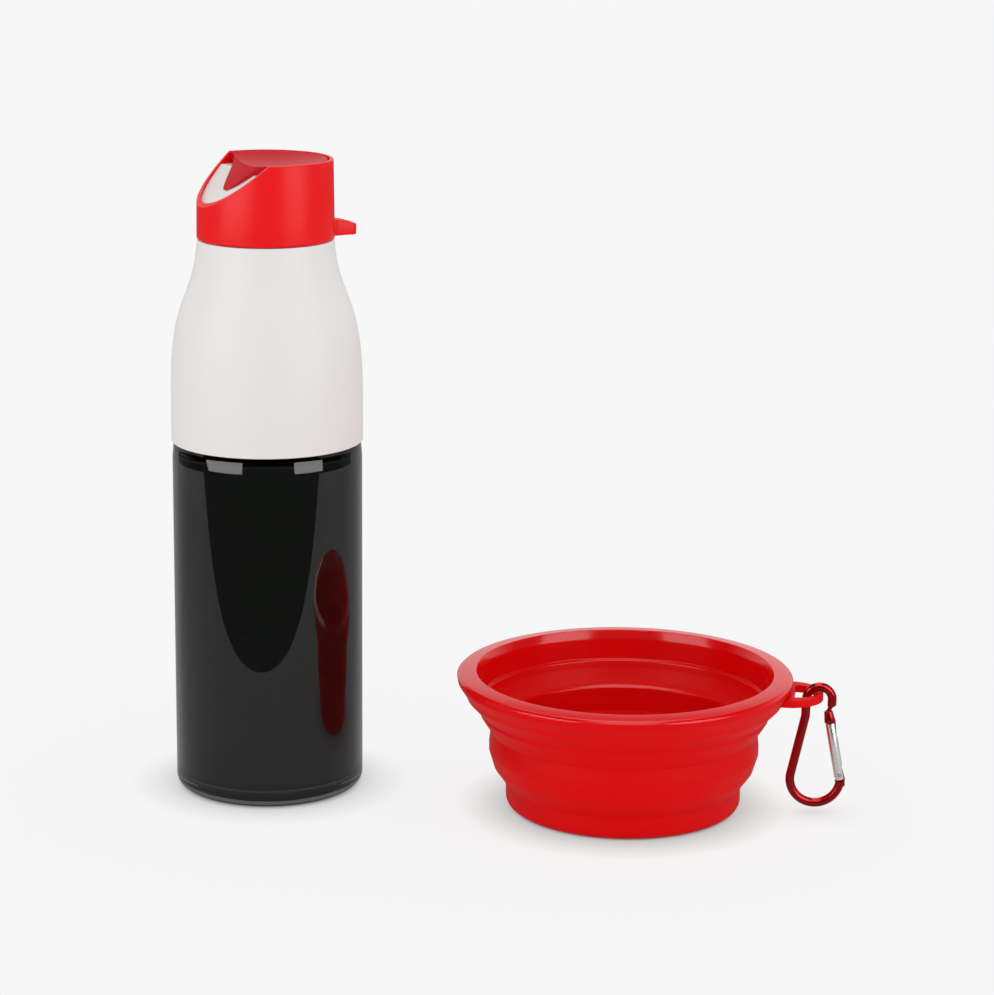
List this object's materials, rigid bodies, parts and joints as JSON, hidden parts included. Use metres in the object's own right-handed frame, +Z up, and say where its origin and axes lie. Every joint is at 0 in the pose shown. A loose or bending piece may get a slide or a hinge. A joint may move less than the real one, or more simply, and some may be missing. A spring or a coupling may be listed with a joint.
{
  "type": "dog travel water bottle",
  "caption": "Travel water bottle for a dog: smoked vessel, white shell, red cap with a tilting pour lid, and a folding red bowl that hangs on a snap hook.",
  "frame": {"origin": "centre of the bottle's foot, on the floor it stands on", "axes": "+Z up along the bottle's axis, +X towards the bowl, +Y away from the side the spout is turned to"},
  "size_m": [0.2588, 0.1282, 0.245],
  "materials": {
    "smoked_vessel": "smoked, polished copolyester",
    "white_shell": "moulded white, semi-gloss",
    "red_cap": "moulded red, glossy",
    "red_lid": "moulded red, fine satin dish",
    "white_insert": "moulded white, semi-gloss",
    "clear_silicone": "soft milky silicone",
    "red_silicone": "satin silicone",
    "red_rim": "glossy over-moulded rim",
    "red_anodised": "anodised dark red",
    "polished_gate": "polished",
    "steel_pin": "bright drawn",
    "spring_steel": "dark drawn wire"
  },
  "bodies": {
    "vessel": {"bottle_lower": "smoked_vessel"},
    "shell_ring": {"middle_seal": "clear_silicone"},
    "shell": {"bottle_upper": "white_shell"},
    "cap_ring": {"cap_seal": "clear_silicone"},
    "cap": {"cap_body": "red_cap", "spout_insert": "white_insert", "vent_valve": "clear_silicone", "lid_axle": "steel_pin"},
    "lid": {"flip_lid": "red_lid", "lid_plug": "clear_silicone"},
    "bowl": {"bowl_base": "red_silicone", "fold_lower": "red_silicone"},
    "bowl_middle": {"bowl_tier": "red_silicone", "fold_upper": "red_silicone"},
    "bowl_top": {"bowl_rim": "red_rim"},
    "hook": {"hook_frame": "red_anodised", "gate_rivet": "steel_pin"},
    "gate": {"hook_gate": "polished_gate", "gate_nose_pin": "steel_pin", "gate_spring": "spring_steel"}
  },
  "joints": [
    {"name": "shell_rise", "type": "slide", "parent": "vessel", "child": "shell_ring", "axis": [0, 0, 1], "range_m": [0, 0.0081]},
    {"name": "shell_turn", "type": "hinge", "parent": "shell_ring", "child": "shell", "pos_m": [0, 0, 0], "axis": [0, 0, 1], "range_deg": [0, 720]},
    {"name": "cap_rise", "type": "slide", "parent": "shell", "child": "cap_ring", "axis": [0, 0, 1], "range_m": [0, 0.0061]},
    {"name": "cap_turn", "type": "hinge", "parent": "cap_ring", "child": "cap", "pos_m": [0, 0, 0], "axis": [0, 0, 1], "range_deg": [0, 720]},
    {"name": "lid_tilt", "type": "hinge", "parent": "cap", "child": "lid", "pos_m": [0.00742, 0.003, 0.2412], "axis": [-0.3746, 0.9272, 0], "range_deg": [0, 26]},
    {"name": "bowl_lift", "type": "slide", "parent": "vessel", "child": "bowl", "axis": [0, 0, 1], "range_m": [0, 0.08]},
    {"name": "lower_fold", "type": "slide", "parent": "bowl", "child": "bowl_middle", "axis": [0, 0, -1], "range_m": [0, 0.0132], "deforming": ["fold_lower"]},
    {"name": "upper_fold", "type": "slide", "parent": "bowl_middle", "child": "bowl_top", "axis": [0, 0, -1], "range_m": [0, 0.0098], "deforming": ["fold_upper"]},
    {"name": "hook_swing", "type": "hinge", "parent": "bowl_top", "child": "hook", "pos_m": [0.21135, -0.0332, 0.045], "axis": [0, -1, 0], "range_deg": [-12, 95]},
    {"name": "gate_open", "type": "hinge", "parent": "hook", "child": "gate", "pos_m": [0.21969, -0.0332, 0.01533], "axis": [0, -1, 0], "range_deg": [0, 20], "stiffness_Nm_per_rad": 0.05, "springref_deg": -20.05}
  ],
  "couplings": [
    {"joint": "shell_rise", "follows": "shell_turn", "m_per_rad": 0.00063662},
    {"joint": "cap_rise", "follows": "cap_turn", "m_per_rad": 0.00047746}
  ]
}
